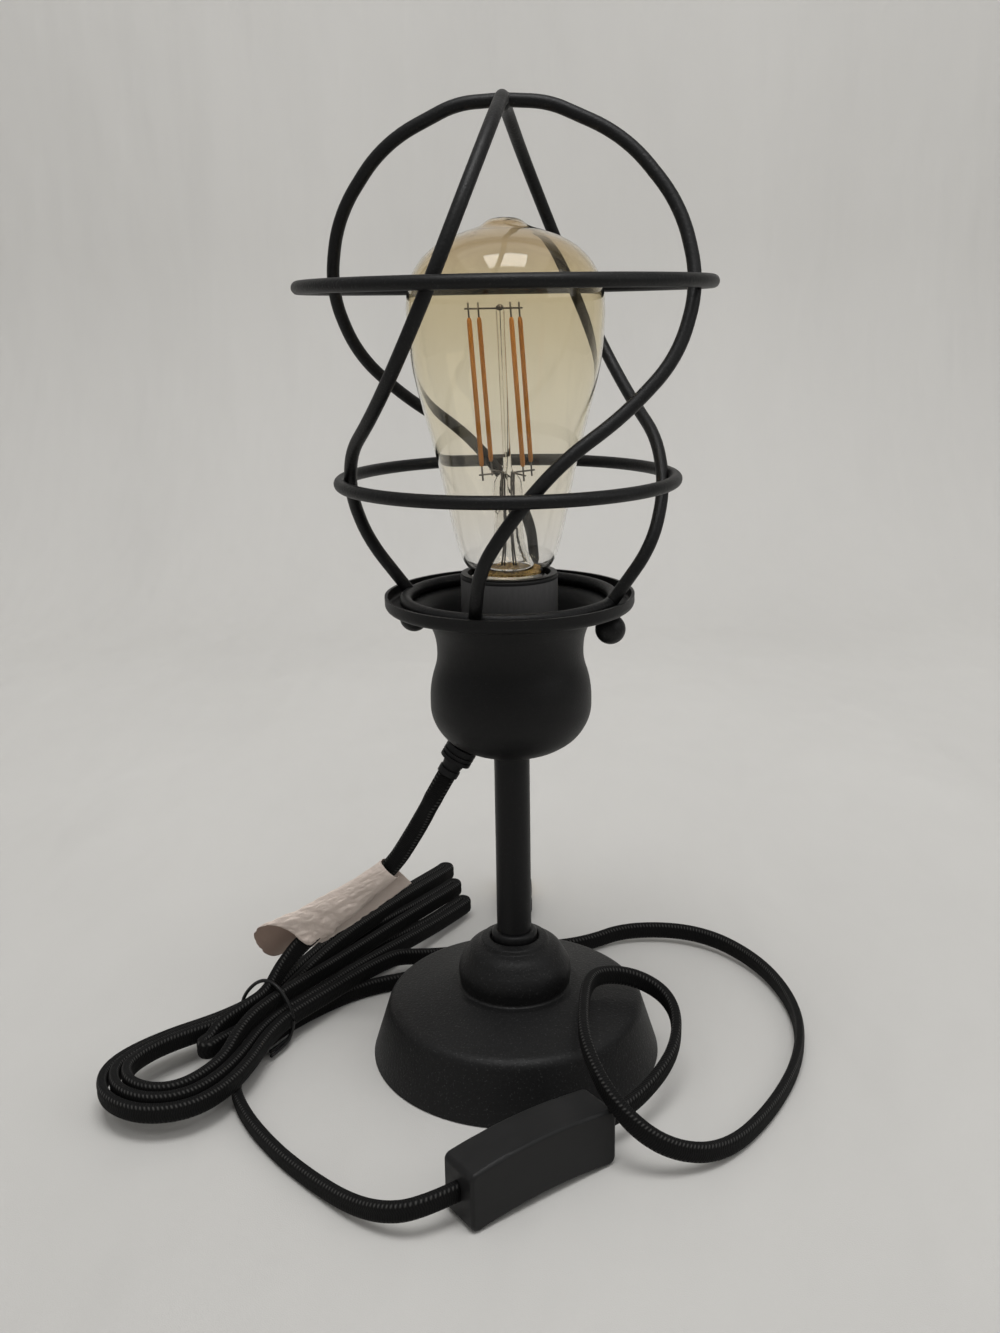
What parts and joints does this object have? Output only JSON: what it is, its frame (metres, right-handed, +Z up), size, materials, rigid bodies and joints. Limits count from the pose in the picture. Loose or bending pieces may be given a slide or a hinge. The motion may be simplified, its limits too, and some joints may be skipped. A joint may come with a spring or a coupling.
{
  "type": "cage table lamp",
  "caption": "Table lamp: domed round base, slim column and bell cup carrying a twisted open wire cage around a tall filament bulb, with braided cord and hand switch.",
  "frame": {"origin": "centre of the base's underside, on the column's axis, at the resting surface", "axes": "+Z up along the column, -Y towards the viewer, +X to the viewer's right"},
  "size_m": [0.2612, 0.2512, 0.3354],
  "materials": {
    "base_paint": "fine matte black powder coat",
    "column_paint": "satin black lacquer",
    "cup_paint": "satin black powder coat",
    "cage_paint": "satin black powder coat over wire and welds",
    "weight_iron": "rough as cast",
    "pad_foam": "matte soft pad",
    "zinc": "zinc plated",
    "gland_nylon": "moulded nylon",
    "socket_moulding": "dark phenolic moulding",
    "sleeve_grey": "plain grey insulating sleeve",
    "shell_brass": "drawn brass",
    "bulb_amber": "clear glass with an amber tint at the crown",
    "cap_metal": "nickel finish",
    "isolator_glass": "black vitrified insulator",
    "stem_glass": "clear glass stem",
    "filament_coat": "phosphor coated sticks",
    "support_wire": "bright wire",
    "disc_gold": "gold coloured disc",
    "cord_braid": "black woven braid over a flat pair",
    "tie_plastic": "black coated tie wire",
    "tag_paper": "blank uncoated paper",
    "switch_plastic": "textured black moulding",
    "rocker_plastic": "polished black moulding",
    "plug_vinyl": "moulded soft black vinyl",
    "blade_brass": "bright brass"
  },
  "bodies": {
    "lamp": {"base_shell": "base_paint", "base_weight": "weight_iron", "base_pad": "pad_foam", "base_washer": "zinc", "base_nut": "zinc", "column_tube": "column_paint", "foot_collar": "column_paint", "threaded_rod": "zinc", "socket_cup": "cup_paint", "cup_washer": "zinc", "cup_nut": "zinc", "cord_gland": "gland_nylon", "socket_cap": "zinc", "socket_body": "socket_moulding", "socket_sleeve": "sleeve_grey", "screw_shell": "shell_brass", "centre_contact": "shell_brass", "terminal_screws": "shell_brass", "cage_foot_ring": "cage_paint", "cage_lower_hoop": "cage_paint", "cage_upper_hoop": "cage_paint", "cage_top_weld": "cage_paint", "cage_wire_right": "cage_paint", "cage_wire_back": "cage_paint", "cage_wire_left": "cage_paint", "cage_wire_front": "cage_paint", "cage_stud_right": "cage_paint", "cage_stud_left": "cage_paint", "cord_lead": "cord_braid", "cord_hank": "cord_braid", "cord_switch_feed": "cord_braid", "cord_plug_feed": "cord_braid", "hank_tie": "tie_plastic", "paper_tag": "tag_paper", "switch_front": "switch_plastic", "switch_back": "switch_plastic", "switch_screws": "zinc", "rocker_pin": "zinc", "switch_contacts": "shell_brass", "plug_body": "plug_vinyl", "plug_blades": "blade_brass"},
    "bulb_lift": {"bulb_contact": "cap_metal"},
    "bulb": {"bulb_glass": "bulb_amber", "bulb_cap": "cap_metal", "bulb_isolator": "isolator_glass", "bulb_disc": "disc_gold", "bulb_stem": "stem_glass", "bulb_filaments": "filament_coat", "bulb_supports": "support_wire"},
    "ball_nut_right": {"ball_nut_right": "cage_paint"},
    "ball_nut_left": {"ball_nut_left": "cage_paint"},
    "rocker": {"switch_rocker": "rocker_plastic"}
  },
  "joints": [
    {"name": "bulb_rise", "type": "slide", "parent": "lamp", "child": "bulb_lift", "axis": [0, 0, 1], "range_m": [0, 0.011]},
    {"name": "bulb_turn", "type": "hinge", "parent": "bulb_lift", "child": "bulb", "pos_m": [0, 0, 0.17], "axis": [0, 0, 1], "range_deg": [0, 1080]},
    {"name": "ball_nut_right_turn", "type": "hinge", "parent": "lamp", "child": "ball_nut_right", "pos_m": [0.03393, -0.01109, 0.1649], "axis": [0, 0, 1], "continuous": true},
    {"name": "ball_nut_left_turn", "type": "hinge", "parent": "lamp", "child": "ball_nut_left", "pos_m": [-0.03393, 0.01109, 0.1649], "axis": [0, 0, 1], "continuous": true},
    {"name": "rocker_tip", "type": "hinge", "parent": "lamp", "child": "rocker", "pos_m": [0.00071, -0.07728, 0.0126], "axis": [0, 0, 1], "range_deg": [-14, 0]}
  ],
  "couplings": [
    {"joint": "bulb_rise", "follows": "bulb_turn", "m_per_rad": 0.000578}
  ]
}
